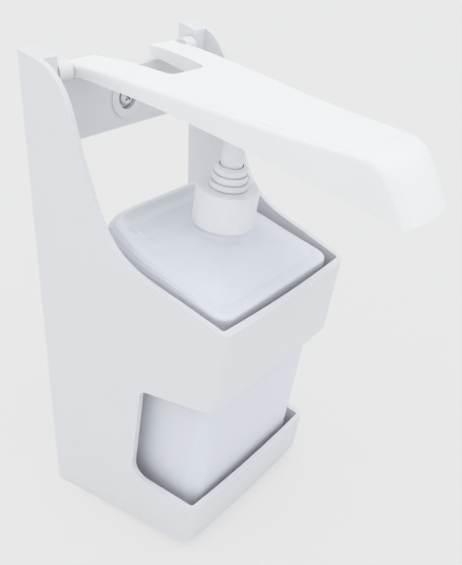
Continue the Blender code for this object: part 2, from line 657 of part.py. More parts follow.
def lever_skin():
    """Outer shape of the lever as rings across it, from the rear to the nose."""
    top = lever_top_line()
    foot = lever_foot_line()
    normals = line_normals(top)
    nose_start = LEVER_NOSE_SHARE * LEVER_REACH
    foot_end = foot[-1].x
    rings = []
    for point, normal in zip(top, normals):
        nose = max(0, (point.x - nose_start) / (LEVER_REACH - nose_start))
        foot_depth = point.x if nose == 0 else nose_start + nose * (foot_end - nose_start)
        foot_height = height_on(foot, foot_depth)
        half = lever_half_width(point.x)
        bow = LEVER_CROWN + (LEVER_NOSE_BOW - LEVER_CROWN) * min(1, 2 * nose)
        groove = LEVER_GROOVE_DEPTH * min(1, max(0, point.x / LEVER_REACH - LEVER_NOSE_SHARE / 2) * 4)
        round_size = LEVER_EDGE_ROUND
        edge = []
        for step in range(CORNER_SEGMENTS):
            angle = QUARTER * step / (CORNER_SEGMENTS - 1)
            edge.append((round_size * (1 - cos(angle)), round_size * (1 - sin(angle))))
        edge.append((round_size + LEVER_GROOVE_WIDTH / 2, groove))
        edge.append((round_size + LEVER_GROOVE_WIDTH, 0))
        inner = half - edge[-1][0]
        columns = [(-half + inset, drop) for inset, drop in edge]
        steps = 2 * CORNER_SEGMENTS
        columns.extend((-inner + 2 * inner * step / steps, 0) for step in range(1, steps))
        columns.extend((half - inset, drop) for inset, drop in reversed(edge))
        ring = [Vector((-lever_half_width(foot_depth), -foot_depth, foot_height - BACK_MIDDLE))]
        for side, drop in columns:
            lift = bow * (1 - abs(side / half) ** LEVER_NOSE_POWER) - drop
            depth = point.x + normal.x * lift
            height = point.y + normal.y * lift
            ring.append(Vector((side, -depth, height - BACK_MIDDLE)))
        ring.append(Vector((lever_half_width(foot_depth), -foot_depth, foot_height - BACK_MIDDLE)))
        rings.append([corner - PIVOT for corner in ring])
    return ring_mesh(rings)


def lever_hollow():
    """Space under the lever's top, one wall inside its outer shape."""
    top = lever_top_line()
    foot = lever_foot_line()
    normals = line_normals(top)
    inner_line = [point - normal * LEVER_WALL for point, normal in zip(top, normals)]
    last = foot[-1].x + LEVER_WALL / 4
    nose_start = LEVER_NOSE_SHARE * LEVER_REACH
    depths = []
    depth = LEVER_SOLID_END
    while depth < nose_start:
        depths.append(depth)
        depth += LEVER_SOLID_END / 2
    steps = 2 * PATH_STEPS
    depths.extend(nose_start + (last - nose_start) * step / steps for step in range(steps + 1))
    rings = []
    for depth in depths:
        ceiling = height_on(inner_line, depth)
        base = height_on(foot, depth) - CUT_SPARE
        half = lever_half_width(depth) - LEVER_WALL
        nose = max(0, (depth - nose_start) / (last - nose_start))
        bow = (LEVER_NOSE_BOW - LEVER_CROWN) * min(1, 2 * nose)
        count = 2 * CORNER_SEGMENTS
        sides = [-half + 2 * half * step / count for step in range(count + 1)]
        places = [(side, depth + bow * (1 - abs(side / half) ** LEVER_NOSE_POWER)) for side in sides]
        low = [upward(side, place, base) - PIVOT for side, place in places]
        high = [upward(side, place, ceiling) - PIVOT for side, place in reversed(places)]
        rings.append(low + high)
    return ring_mesh(rings)


def slot_outline(grow):
    rear = -CUT_SPARE
    slope = (SLOT_REAR_HALF_WIDTH - SLOT_FRONT_HALF_WIDTH) / SLOT_DEPTH
    front = SLOT_DEPTH + grow
    rear_half = SLOT_REAR_HALF_WIDTH - slope * rear + grow
    front_half = SLOT_REAR_HALF_WIDTH - slope * front + grow
    corners = [Vector((-rear_half, rear)), Vector((-front_half, front)), Vector((front_half, front)), Vector((rear_half, rear))]
    radius = SLOT_CORNER_RADIUS + grow
    left = rounded_corner(corners[0], corners[1], corners[2], radius, CORNER_SEGMENTS)
    right = rounded_corner(corners[1], corners[2], corners[3], radius, CORNER_SEGMENTS)
    return [tuple(point) for point in [corners[0], *left, *right, corners[3]]]


def pump_point(back, rise):
    """World point in the pump's own middle plane, behind and above the cap's top."""
    return PUMP_TOP + PUMP_TURN @ Vector((0, back, rise))


def build_lever(group, cutters, material):
    lever = new_object("lever", lever_skin(), group, PIVOT)
    hollow = new_object("cut_lever_hollow", lever_hollow(), cutters, PIVOT)
    low = LEVER_TOP_REAR - LEVER_TOP_FALL - 2 * CUT_SPARE
    high = LEVER_TOP_REAR + CUT_SPARE
    slot_wall = new_object("keep_slot_wall", prism_mesh(slot_outline(LEVER_WALL), low, high, upward), cutters)
    boolean(hollow, slot_wall, "DIFFERENCE")
    boolean(lever, hollow, "DIFFERENCE")
    slot = new_object("cut_slot", prism_mesh(slot_outline(0), low, high, upward), cutters)
    boolean(lever, slot, "DIFFERENCE")
    contact = pump_point(0, HEAD_TOP_RISE + FIT_GAP + PRESS_RIB_RADIUS)
    roof = height_on(lever_top_line(), -contact.y) - LEVER_WALL / 2
    foot = contact.z
    profile = []
    steps = 2 * CORNER_SEGMENTS
    for step in range(steps + 1):
        angle = -pi * step / steps
        profile.append((-contact.y + PRESS_RIB_RADIUS * cos(angle), foot + BACK_MIDDLE + PRESS_RIB_RADIUS * sin(angle)))
    profile.extend([(-contact.y - PRESS_RIB_RADIUS, roof), (-contact.y + PRESS_RIB_RADIUS, roof)])
    rib = prism_mesh(profile, -PRESS_RIB_HALF_LENGTH, PRESS_RIB_HALF_LENGTH, across)
    boolean(lever, new_object("add_press_rib", rib, cutters), "UNION")
    for sign, side in ((-1, "left"), (1, "right")):
        radius = PIVOT_PIN_RADIUS + FIT_GAP
        depth = PIVOT_PIN_IN_LEVER + FIT_GAP
        profile = ((radius, -depth), (radius, CUT_SPARE))
        place = PIVOT + Vector((sign * lever_half_width(PIVOT_DEPTH), 0, 0))
        hole = new_object("cut_lever_pin_" + side, rod_mesh(profile, SMALL_SEGMENTS), cutters, place, Matrix.Rotation(sign * QUARTER, 4, "Y"))
        boolean(lever, hole, "DIFFERENCE")
    settle(lever, material)
    return lever


def build_pivots(group, pin_material, spacer_material):
    ear_face = HALF_BACK - EAR_THICKNESS
    lever_face = lever_half_width(PIVOT_DEPTH)
    rear_face = lever_half_width(PIVOT_DEPTH - SPACER_RADIUS)
    for sign, side in ((-1, "left"), (1, "right")):
        turn = Matrix.Rotation(sign * QUARTER, 4, "Y")
        start = lever_face - PIVOT_PIN_IN_LEVER
        end = ear_face + PIVOT_PIN_IN_EAR
        chamfer = PIVOT_PIN_RADIUS / 4
        profile = (
            (PIVOT_PIN_RADIUS - chamfer, start), (PIVOT_PIN_RADIUS, start + chamfer),
            (PIVOT_PIN_RADIUS, end - chamfer), (PIVOT_PIN_RADIUS - chamfer, end),
        )
        pin = new_object("pivot_pin_" + side, rod_mesh(profile, SMALL_SEGMENTS), group, PIVOT, turn)
        finish(pin, pin_material)
        bore = PIVOT_PIN_RADIUS + FIT_GAP
        low = rear_face + FIT_GAP
        high = ear_face - FIT_GAP
        profile = ((bore, low), (SPACER_RADIUS, low), (SPACER_RADIUS, high), (bore, high))
        spacer = new_object("pivot_spacer_" + side, turned_mesh(profile, ROUND_SEGMENTS), group, PIVOT, turn)
        finish(spacer, spacer_material)


def rounded_reach(half_width, half_depth, radius, angle):
    """Distance from the centre to a rounded rectangle's edge at an angle."""
    side = abs(cos(angle))
    front = abs(sin(angle))
    flat_width = half_width - radius
    flat_depth = half_depth - radius
    if side * half_depth >= front * half_width and front * half_width <= side * flat_depth:
        return half_width / side
    if front * half_width >= side * half_depth and side * half_depth <= front * flat_width:
        return half_depth / front
    middle = side * flat_width + front * flat_depth
    offset = flat_width ** 2 + flat_depth ** 2 - radius ** 2
    return middle + sqrt(max(0, middle ** 2 - offset))


def bottle_angles():
    """Angles round the bottle, close together at its corners."""
    half_width = BOTTLE_WIDTH / 2
    half_depth = BOTTLE_DEPTH / 2
    low = atan2(half_depth - BOTTLE_CORNER_RADIUS, half_width)
    high = atan2(half_depth, half_width - BOTTLE_CORNER_RADIUS)
    quarter = [low * step / BOTTLE_SIDE_STEPS for step in range(BOTTLE_SIDE_STEPS)]
    quarter.extend(low + (high - low) * step / BOTTLE_CORNER_STEPS for step in range(BOTTLE_CORNER_STEPS))
    quarter.extend(high + (QUARTER - high) * step / BOTTLE_SIDE_STEPS for step in range(BOTTLE_SIDE_STEPS))
    mirrored = [pi - angle for angle in reversed(quarter[1:])]
    half = quarter + [QUARTER] + mirrored
    return half + [angle + pi for angle in half]


def bottle_ring(angles, half_width, half_depth, radius, rise, lift, set_back):
    ring = []
    full = BOTTLE_DEPTH / 2 - BOTTLE_CORNER_RADIUS
    for angle in angles:
        reach = rounded_reach(half_width, half_depth, radius, angle)
        back = reach * sin(angle)
        share = max(-1, min(1, back / full))
        change = REAR_LIFT * share ** 2 if share > 0 else FRONT_FALL * share
        ring.append(Vector((reach * cos(angle), back + set_back, rise + lift * change)))
    return ring


def bottle_rings(angles, inset):
    """Rings from the bottle's foot up to its neck, moved in by inset.

    Each is half width, half depth, corner radius, height, share of the shoulder's tilt and set back.
    """
    half_width = BOTTLE_WIDTH / 2 - inset
    half_depth = BOTTLE_DEPTH / 2 - inset
    corner = BOTTLE_CORNER_RADIUS - inset
    neck = NECK_RADIUS if inset == 0 else NECK_RADIUS - NECK_WALL
    foot = -BOTTLE_DROP + inset
    ridge = -SHOULDER_DROP - inset
    rings = []
    for step in range(CORNER_SEGMENTS):
        angle = QUARTER * step / (CORNER_SEGMENTS - 1)
        pull = BOTTLE_FOOT_ROUND * (1 - sin(angle))
        rise = foot + BOTTLE_FOOT_ROUND * (1 - cos(angle))
        rings.append((half_width - pull, half_depth - pull, corner - pull / 2, rise, 0, BOTTLE_SET_BACK))
    rings.append((half_width, half_depth, corner, ridge - 2 * SHOULDER_ROUND, 0, BOTTLE_SET_BACK))
    for step in range(CORNER_SEGMENTS + 1):
        angle = (QUARTER - SHOULDER_SLOPE) * step / CORNER_SEGMENTS
        pull = SHOULDER_ROUND * (1 - cos(angle))
        rise = ridge - SHOULDER_ROUND * (1 - sin(angle))
        rings.append((half_width - pull, half_depth - pull, corner + pull / 3, rise, sin(angle), BOTTLE_SET_BACK))
    start_width, start_depth, start_corner, start_rise = rings[-1][:4]
    end = neck + NECK_FILLET * (1 - sin(SHOULDER_SLOPE))
    climb = (start_width - end) * tan(SHOULDER_SLOPE)
    for step in range(1, CORNER_SEGMENTS + 1):
        share = step / CORNER_SEGMENTS
        width = start_width + (end - start_width) * share
        depth = start_depth + (end - start_depth) * share
        radius = start_corner + (end - start_corner) * share ** 2
        tilt = cos(SHOULDER_SLOPE) * (1 - share) ** 2
        set_back = BOTTLE_SET_BACK * (1 - share)
        rings.append((width, depth, min(radius, width, depth), start_rise + climb * share, tilt, set_back))
    centre = start_rise + climb + NECK_FILLET * cos(SHOULDER_SLOPE)
    for step in range(1, CORNER_SEGMENTS):
        angle = SHOULDER_SLOPE + (QUARTER - SHOULDER_SLOPE) * step / (CORNER_SEGMENTS - 1)
        size = neck + NECK_FILLET * (1 - sin(angle))
        rings.append((size, size, size, centre - NECK_FILLET * cos(angle), 0, 0))
    rings.append((neck, neck, neck, -NECK_TOP_DROP, 0, 0))
    return [bottle_ring(angles, *values) for values in rings]


def build_bottle(group, material):
    angles = bottle_angles()
    outer = bottle_rings(angles, 0)
    inner = bottle_rings(angles, BOTTLE_WALL)
    bottle = new_object("bottle", ring_mesh([*outer, *reversed(inner)]), group, PUMP_TOP, PUMP_TURN)
    finish(bottle, material)


def build_closure(group, material):
    bore = NECK_RADIUS + CAP_THREAD_GAP
    hole = CYLINDER_BORE + FIT_GAP
    body = CAP_RADIUS - CAP_RIB_DEPTH / 4
    plain = CAP_RADIUS - CAP_RIB_DEPTH
    profile = [(hole, -CAP_TOP_THICKNESS), (hole, 0)]
    for step in range(CORNER_SEGMENTS):
        angle = QUARTER * step / (CORNER_SEGMENTS - 1)
        profile.append((plain - CAP_EDGE_ROUND * (1 - sin(angle)), -CAP_EDGE_ROUND * (1 - cos(angle))))
    profile.append((plain, -CAP_EDGE_ROUND - CAP_RIB_DEPTH))
    profile.append((body, -CAP_EDGE_ROUND - 2 * CAP_RIB_DEPTH))
    profile.append((body, -CAP_HEIGHT + CAP_RIM_HEIGHT + CAP_RIB_DEPTH))
    profile.append((plain, -CAP_HEIGHT + CAP_RIM_HEIGHT))
    profile.append((plain, -CAP_HEIGHT))
    profile.append((bore, -CAP_HEIGHT))
    profile.append((bore, -CAP_TOP_THICKNESS))

    def ribs(index):
        return CAP_RIB_DEPTH / 4 if index % 2 else -CAP_RIB_DEPTH / 4

    closure = new_object("pump_closure", turned_mesh(profile, 2 * CAP_RIB_COUNT, ribs), group, PUMP_TOP, PUMP_TURN)
    finish(closure, material)


def build_pump(group, cutters, looks):
    flange_top = -CAP_TOP_THICKNESS - FIT_GAP
    flange_foot = flange_top - PUMP_FLANGE_THICKNESS
    gasket_top = flange_foot - FIT_GAP
    cylinder_outer = CYLINDER_BORE + CYLINDER_WALL
    gasket_inner = cylinder_outer + FIT_GAP
    profile = (
        (gasket_inner, gasket_top), (PUMP_FLANGE_RADIUS, gasket_top),
        (PUMP_FLANGE_RADIUS, gasket_top - GASKET_THICKNESS), (gasket_inner, gasket_top - GASKET_THICKNESS),
    )
    gasket = new_object("closure_gasket", turned_mesh(profile, ROUND_SEGMENTS), group, PUMP_TOP, PUMP_TURN)
    finish(gasket, looks["gasket"])

    chamber = INLET_BALL_RADIUS + BALL_SIDE_GAP
    seat = -CYLINDER_SEAT_DROP
    valve_top = seat - VALVE_CHAMBER_LENGTH
    valve_foot = valve_top - VALVE_HOLE_LENGTH
    socket = DIP_TUBE_RADIUS + FIT_GAP
    socket_outer = socket + DIP_SOCKET_WALL
    socket_foot = valve_foot - DIP_SOCKET_LENGTH
    profile = (
        (CYLINDER_BORE, flange_top), (PUMP_FLANGE_RADIUS, flange_top), (PUMP_FLANGE_RADIUS, flange_foot),
        (cylinder_outer, flange_foot), (cylinder_outer, seat - CYLINDER_WALL), (socket_outer, -CYLINDER_FOOT_DROP),
        (socket_outer, socket_foot), (socket, socket_foot), (socket, valve_foot),
        (VALVE_HOLE_RADIUS, valve_foot), (VALVE_HOLE_RADIUS, valve_top), (chamber, valve_top),
        (chamber, seat), (CYLINDER_BORE, seat),
    )
    cylinder = new_object("pump_cylinder", turned_mesh(profile, ROUND_SEGMENTS), group, PUMP_TOP, PUMP_TURN)
    finish(cylinder, looks["cylinder"])

    rest = sqrt(INLET_BALL_RADIUS ** 2 - VALVE_HOLE_RADIUS ** 2)
    ball_place = pump_point(0, valve_top + rest + FIT_GAP)
    build_ball("inlet_ball", INLET_BALL_RADIUS, ball_place, group, looks["steel"])

    tube_top = valve_foot - FIT_GAP
    tube_foot = -BOTTLE_DROP + BOTTLE_WALL + DIP_TUBE_END_GAP
    inner = DIP_TUBE_RADIUS - DIP_TUBE_WALL
    profile = ((inner, tube_top), (DIP_TUBE_RADIUS, tube_top), (DIP_TUBE_RADIUS, tube_foot), (inner, tube_foot))
    tube = new_object("dip_tube", turned_mesh(profile, SMALL_SEGMENTS), group, PUMP_TOP, PUMP_TURN)
    finish(tube, looks["tube"])

    bore = SKIRT_RADIUS + FIT_GAP
    sleeve = CYLINDER_BORE - FIT_GAP
    rise = FIT_GAP
    outline = [(bore, -COLLAR_SLEEVE_DROP), (sleeve, -COLLAR_SLEEVE_DROP), (sleeve, rise)]
    stages = (
        (COLLAR_BASE_RADIUS, COLLAR_BASE_HEIGHT), (COLLAR_RING_RADIUS - COLLAR_GROOVE_DEPTH, COLLAR_GROOVE_HEIGHT),
        (COLLAR_RING_RADIUS, COLLAR_RING_HEIGHT), (COLLAR_TOP_RADIUS - COLLAR_GROOVE_DEPTH, COLLAR_GROOVE_HEIGHT),
        (COLLAR_TOP_RADIUS, COLLAR_TOP_HEIGHT),
    )
    for radius, height in stages:
        outline.append((radius, rise))
        rise += height
        outline.append((radius, rise))
    rise += COLLAR_CONE_HEIGHT
    outline.append((bore + COLLAR_SLEEVE_WALL / 2, rise))
    outline.append((bore, rise))
    collar = new_object("pump_collar", turned_mesh(outline, ROUND_SEGMENTS), group, PUMP_TOP, PUMP_TURN)
    finish(collar, looks["collar"])

    build_actuator(group, cutters, looks["actuator"])

    cup = OUTLET_BALL_RADIUS + BALL_SIDE_GAP / 2
    cup_foot = STEM_TOP_RISE - OUTLET_CUP_DEPTH
    stem_foot = -STEM_FOOT_DROP
    flange = stem_foot - STEM_FLANGE_THICKNESS
    profile = (
        (STEM_BORE, flange), (STEM_FLANGE_RADIUS, flange), (STEM_FLANGE_RADIUS, stem_foot),
        (STEM_RADIUS, stem_foot), (STEM_RADIUS, STEM_TOP_RISE), (cup, STEM_TOP_RISE),
        (cup, cup_foot), (STEM_BORE, cup_foot),
    )
    stem = new_object("pump_stem", turned_mesh(profile, SMALL_SEGMENTS), group, PUMP_TOP, PUMP_TURN)
    finish(stem, looks["cylinder"])
    rest = sqrt(OUTLET_BALL_RADIUS ** 2 - STEM_BORE ** 2)
    build_ball("outlet_ball", OUTLET_BALL_RADIUS, pump_point(0, cup_foot + rest + FIT_GAP), group, looks["steel"])

    lip = CYLINDER_BORE - SLIDE_GAP
    waist = lip - PISTON_LIP_DEPTH
    hole = STEM_RADIUS + FIT_GAP
    foot = stem_foot + FIT_GAP
    waist_foot = foot + PISTON_LIP_HEIGHT
    waist_top = waist_foot + PISTON_WAIST_HEIGHT
    head = waist_top + PISTON_LIP_HEIGHT
    profile = (
        (hole, foot), (lip, foot), (lip, waist_foot), (waist, waist_foot),
        (waist, waist_top), (lip, waist_top), (lip, head), (hole, head),
    )
    piston = new_object("pump_piston", turned_mesh(profile, ROUND_SEGMENTS), group, PUMP_TOP, PUMP_TURN)
    finish(piston, looks["piston"])

    build_spring(group, flange - FIT_GAP, seat + FIT_GAP, looks["steel"])


def build_ball(name, radius, place, group, material):
    mesh_data = bmesh.new()
    bmesh.ops.create_uvsphere(mesh_data, u_segments=SMALL_SEGMENTS, v_segments=SMALL_SEGMENTS // 2, radius=radius)
    ball = new_object(name, face_out(mesh_data), group, place, PUMP_TURN)
    finish(ball, material)


def tube_rings(path, radii):
    """Round rings square to a path in the pump's middle plane."""
    rings = []
    for index, point in enumerate(path):
        before = path[max(index - 1, 0)]
        after = path[min(index + 1, len(path) - 1)]
        along = (after - before).normalized()
        upright = Vector((-along.y, along.x))
        ring = []
        for step in range(SMALL_SEGMENTS):
            angle = 2 * pi * step / SMALL_SEGMENTS
            offset = upright * radii[index] * sin(angle)
            ring.append(Vector((radii[index] * cos(angle), point.x + offset.x, point.y + offset.y)))
        rings.append(ring)
    return rings


def build_actuator(group, cutters, material):
    foot = HEAD_FOOT_RISE
    top = HEAD_TOP_RISE
    profile = [
        (SKIRT_RADIUS, -SKIRT_FOOT_DROP), (SKIRT_TOP_RADIUS, foot - HEAD_ROUND / 2),
        (HEAD_RADIUS - HEAD_ROUND, foot), (HEAD_RADIUS, foot + HEAD_ROUND),
    ]
    for step in range(CORNER_SEGMENTS):
        angle = QUARTER * step / (CORNER_SEGMENTS - 1)
        profile.append((HEAD_RADIUS - HEAD_ROUND * (1 - cos(angle)), top - HEAD_ROUND * (1 - sin(angle))))
    actuator = new_object("pump_actuator", rod_mesh(profile, ROUND_SEGMENTS), group, PUMP_TOP, PUMP_TURN)

    root = top - SPOUT_ROOT_DROP
    bend = SPOUT_REACH - SPOUT_TIP_LENGTH
    line = [
        (0, root), (-HEAD_RADIUS, root), (-bend / 2, root - SPOUT_FALL / 3), (-bend, root - SPOUT_FALL),
        (-SPOUT_REACH + SPOUT_TIP_RADIUS / 2, root - SPOUT_FALL - SPOUT_TIP_LENGTH / 3),
        (-SPOUT_REACH, root - SPOUT_FALL - SPOUT_TIP_LENGTH),
    ]
    path = smooth_line(line, CURVE_STEPS)
    count = len(path) - 1
    radii = [SPOUT_RADIUS + (SPOUT_TIP_RADIUS - SPOUT_RADIUS) * index / count for index in range(count + 1)]
    spout = new_object("add_spout", ring_mesh(tube_rings(path, radii)), cutters, PUMP_TOP, PUMP_TURN)
    boolean(actuator, spout, "UNION")
    past = path[-1] + (path[-1] - path[-2]).normalized() * SPOUT_TIP_RADIUS
    duct_path = [*path, past]
    duct = new_object("cut_spout_duct", ring_mesh(tube_rings(duct_path, [DUCT_RADIUS] * len(duct_path))), cutters, PUMP_TOP, PUMP_TURN)
    boolean(actuator, duct, "DIFFERENCE")
    socket = STEM_RADIUS + FIT_GAP
    socket_top = STEM_TOP_RISE + FIT_GAP
    profile = (
        (socket, -SKIRT_FOOT_DROP - CUT_SPARE), (socket, socket_top),
        (DUCT_RADIUS + SLIDE_GAP, socket_top), (DUCT_RADIUS + SLIDE_GAP, root),
    )
    bore = new_object("cut_stem_socket", rod_mesh(profile, SMALL_SEGMENTS), cutters, PUMP_TOP, PUMP_TURN)
    boolean(actuator, bore, "DIFFERENCE")
    settle(actuator, material)


def build_spring(group, top, foot, material):
    """Coil with its two ends closed up flat, and one straight diameter at each end."""
    rise = top - foot - 2 * SPRING_WIRE_RADIUS
    start = foot + SPRING_WIRE_RADIUS
    end_turns = 1
    pitch_low = 4 * SPRING_WIRE_RADIUS
    working = SPRING_TURNS - 2 * end_turns
    pitch = (rise - 2 * end_turns * pitch_low) / working
    points = []
    count = SPRING_TURNS * SPRING_POINTS_PER_TURN
    height = start
    for index in range(count + 1):
        turn = index / SPRING_POINTS_PER_TURN
        angle = 2 * pi * turn
        points.append(Vector((SPRING_COIL_RADIUS * cos(angle), SPRING_COIL_RADIUS * sin(angle), height)))
        local = pitch_low if turn < end_turns or turn >= SPRING_TURNS - end_turns else pitch
        height += local / SPRING_POINTS_PER_TURN
    first = points[0] - (points[1] - points[0]).normalized() * 2 * SPRING_WIRE_RADIUS
    last = points[-1] + (points[-1] - points[-2]).normalized() * 2 * SPRING_WIRE_RADIUS
    first.z = points[0].z
    last.z = points[-1].z
    points = [first, *points, last]
    curve = bpy.data.curves.new("return_spring", "CURVE")
    curve.dimensions = "3D"
    curve.bevel_depth = SPRING_WIRE_RADIUS
    curve.bevel_resolution = 1
    curve.use_fill_caps = True
    line = curve.splines.new("POLY")
    line.points.add(len(points) - 1)
    for slot, point in zip(line.points, points):
        slot.co = (*point, 1)
    wire = bpy.data.objects.new("return_spring_line", curve)
    group.objects.link(wire)
    bpy.context.view_layer.update()
    mesh = bpy.data.meshes.new_from_object(wire)
    bpy.data.objects.remove(wire, do_unlink=True)
    mesh_data = bmesh.new()
    mesh_data.from_mesh(mesh)
    bmesh.ops.remove_doubles(mesh_data, verts=mesh_data.verts, dist=SPRING_WIRE_RADIUS / 100)
    bpy.data.meshes.remove(mesh)
    spring = new_object("return_spring", face_out(mesh_data), group, PUMP_TOP, PUMP_TURN)
    finish(spring, material)
    print("spring pitch", round(pitch, 5), "gap between curls", round(pitch - 2 * SPRING_WIRE_RADIUS, 5))
    print("end pitch gap", round(pitch_low - 2 * SPRING_WIRE_RADIUS, 5))


def build():
    clear_scene()
    group = bpy.data.collections.new("elbow_dispenser")
    cutters = bpy.data.collections.new("construction")
    scene = bpy.context.scene
    scene.unit_settings.system = "METRIC"
    scene.collection.children.link(group)
    scene.collection.children.link(cutters)
    white = (0.86, 0.87, 0.88)
    looks = {
        "holder": plastic("holder_plastic", white, 0.38),
        "lever": plastic("lever_plastic", (0.89, 0.89, 0.89), 0.34),
        "bottle": plastic("bottle_plastic", (0.80, 0.81, 0.84), 0.42),
        "closure": plastic("closure_plastic", white, 0.40),
        "gasket": plastic("gasket_foam", (0.75, 0.75, 0.74), 0.80),
        "cylinder": plastic("cylinder_plastic", (0.84, 0.85, 0.85), 0.45),
        "collar": plastic("collar_plastic", white, 0.40),
        "actuator": plastic("actuator_plastic", white, 0.36),
        "tube": plastic("tube_plastic", (0.82, 0.83, 0.83), 0.50),
        "piston": plastic("piston_plastic", (0.70, 0.72, 0.74), 0.55),
        "steel": plastic("stainless_steel", (0.62, 0.62, 0.64), 0.28, metallic=1.0),
        "spacer": plastic("spacer_plastic", white, 0.45),
    }
    build_holder(group, cutters, looks["holder"])
    build_wall_screw(group, cutters, looks["steel"], looks["steel"])
    build_lever(group, cutters, looks["lever"])
    build_pivots(group, looks["steel"], looks["spacer"])
    build_bottle(group, looks["bottle"])
    build_closure(group, looks["closure"])
    build_pump(group, cutters, looks)
    for item in cutters.objects:
        item.hide_render = True
        item.display_type = "WIRE"


build()
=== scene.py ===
"""Looks of the elbow-operated sanitizer dispenser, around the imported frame.

Metres, +Z up. The pieces stay as the frame gives them. Each gets a detailed
material, and the two large mouldings get rounded edges.
"""
from math import cos, radians, sin

import bmesh
import bpy
from mathutils import Matrix, Vector


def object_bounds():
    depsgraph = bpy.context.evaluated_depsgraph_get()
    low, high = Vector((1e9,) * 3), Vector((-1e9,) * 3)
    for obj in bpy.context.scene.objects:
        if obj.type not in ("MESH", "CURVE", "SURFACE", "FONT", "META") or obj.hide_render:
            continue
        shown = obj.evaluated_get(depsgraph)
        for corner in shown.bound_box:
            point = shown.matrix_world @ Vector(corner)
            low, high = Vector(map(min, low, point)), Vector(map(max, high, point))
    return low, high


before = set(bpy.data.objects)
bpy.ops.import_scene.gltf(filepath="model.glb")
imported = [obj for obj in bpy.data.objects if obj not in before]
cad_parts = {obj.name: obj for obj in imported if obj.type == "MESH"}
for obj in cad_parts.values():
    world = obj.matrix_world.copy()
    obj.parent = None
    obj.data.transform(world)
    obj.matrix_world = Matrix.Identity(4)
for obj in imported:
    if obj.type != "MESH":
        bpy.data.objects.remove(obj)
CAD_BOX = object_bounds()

SCENE = bpy.context.scene

# Picture, with pixels for the width and the focal length
IMAGE_WIDTH = 462
FOCAL_PIXELS = 730
SENSOR_WIDTH = 36
CAMERA_NEAR = 0.01
CAMERA_PLACE = (-0.26576, -0.27448, 0.30476)
CAMERA_AZIMUTH = radians(-53.563)
CAMERA_ELEVATION = radians(28.834)
CAMERA_ROLL = radians(2.535)

# Soft light and backdrop
BACKDROP = (0.8075, 0.8075, 0.8075)
FLOOR_GLOW = (0.8195, 0.8195, 0.8195)
FLOOR_GLOW_SHARE = 0.75
FLOOR_RADIUS = 9.0
FLOOR_SEGMENTS = 96
WORLD_LIGHT = 0.90
WORLD_COLOUR = (0.97, 0.985, 1.0)
TOP_LIGHT = 0.26
TOP_LIGHT_FROM = (-0.15, -0.35, 1.0)
TOP_LIGHT_ANGLE = radians(50)
SIDE_LIGHT = 0.08
SIDE_LIGHT_FROM = (-0.8, -0.6, 0.5)
SIDE_LIGHT_ANGLE = radians(60)

# Edge rounding of the moulded pieces
EDGE_WIDTHS = {"holder": 0.0005, "lever": 0.0004}
EDGE_ANGLE = radians(34)
EDGE_SEGMENTS = 3
WELD_DISTANCE = 0.000002
FLAT_ANGLE = radians(0.6)

# Wave lengths and shifts of the plastics' noise
CLOUD_SIZE = 0.055
FLOW_SIZE = 0.009
FLOW_STRETCH = (1, 1, 0.35)
FLOW_SHIFT = (3, 1, 7)
SPECK_SIZE = 0.0016
SPECK_SHIFT = (9, 4, 2)
WAVE_SIZE = 0.024
WAVE_SHIFT = (2, 8, 5)
GRAIN_SIZE = 0.0005
GRAIN_DEPTH = 0.000006
WAVE_DEPTH = 0.00003
BOTTLE_WAVE_DEPTH = 0.00009
PUMP_WAVE_DEPTH = 0.00001
FOAM_GRAIN_SIZE = 0.0004
FOAM_GRAIN_DEPTH = 0.00004

# Tone spread of the plastics, painted shade in their folds, and smoother edges with a painted highlight
SHADE = 0.02
FLOW_SHADE = 0.6
FLOW_AMOUNT = 0.5
FOLD_SHADE_REACH = 0.004
FOLD_SHADE_COLOUR = (0.93, 0.92, 0.90)
FOLD_SHADE_LEVEL = 0.82
FOLD_SHADE_LEAST = 0.05
FOLD_SHADE_MOST = 0.28
FOLD_ROUGH = 0.3
EDGE_REACH = 0.0012
EDGE_LEAST = 0.2
EDGE_MOST = 0.5
EDGE_HIGHLIGHT_GAIN = 1.05
EDGE_SMOOTHER = 0.12
EDGE_HIGHLIGHT_CAP = 0.93
FLOW_ROUGH = 0.05
SPECK_ROUGH = 0.03
PLASTIC_IOR = 1.5
SOFT_RADIUS = (1.0, 0.9, 0.8)
SOFT_SCALE = 0.003

# Draw lines and scuffs of the steel, and painted shade in its folds
LINE_SIZE = 0.0006
LINE_DEPTH = 0.000004
LINE_SMOOTHER = 0.08
LINE_ROUGHER = 0.1
SCUFF_SIZE = 0.004
SCUFF_SHIFT = (5, 5, 1)
SCUFF_SHADE = 0.9
STEEL_FOLD_SHADE_REACH = 0.002
STEEL_FOLD_SHADE = 0.35
STEEL_FOLD_SHADE_COLOUR = (0.55, 0.54, 0.53)

# Part of a noise's range that is spread, and of a fold's shade
NOISE_LOW = 0.3
NOISE_HIGH = 0.7
FOLD_LOW = 0.35
FOLD_HIGH = 0.95
FOLD_SAMPLES = 8


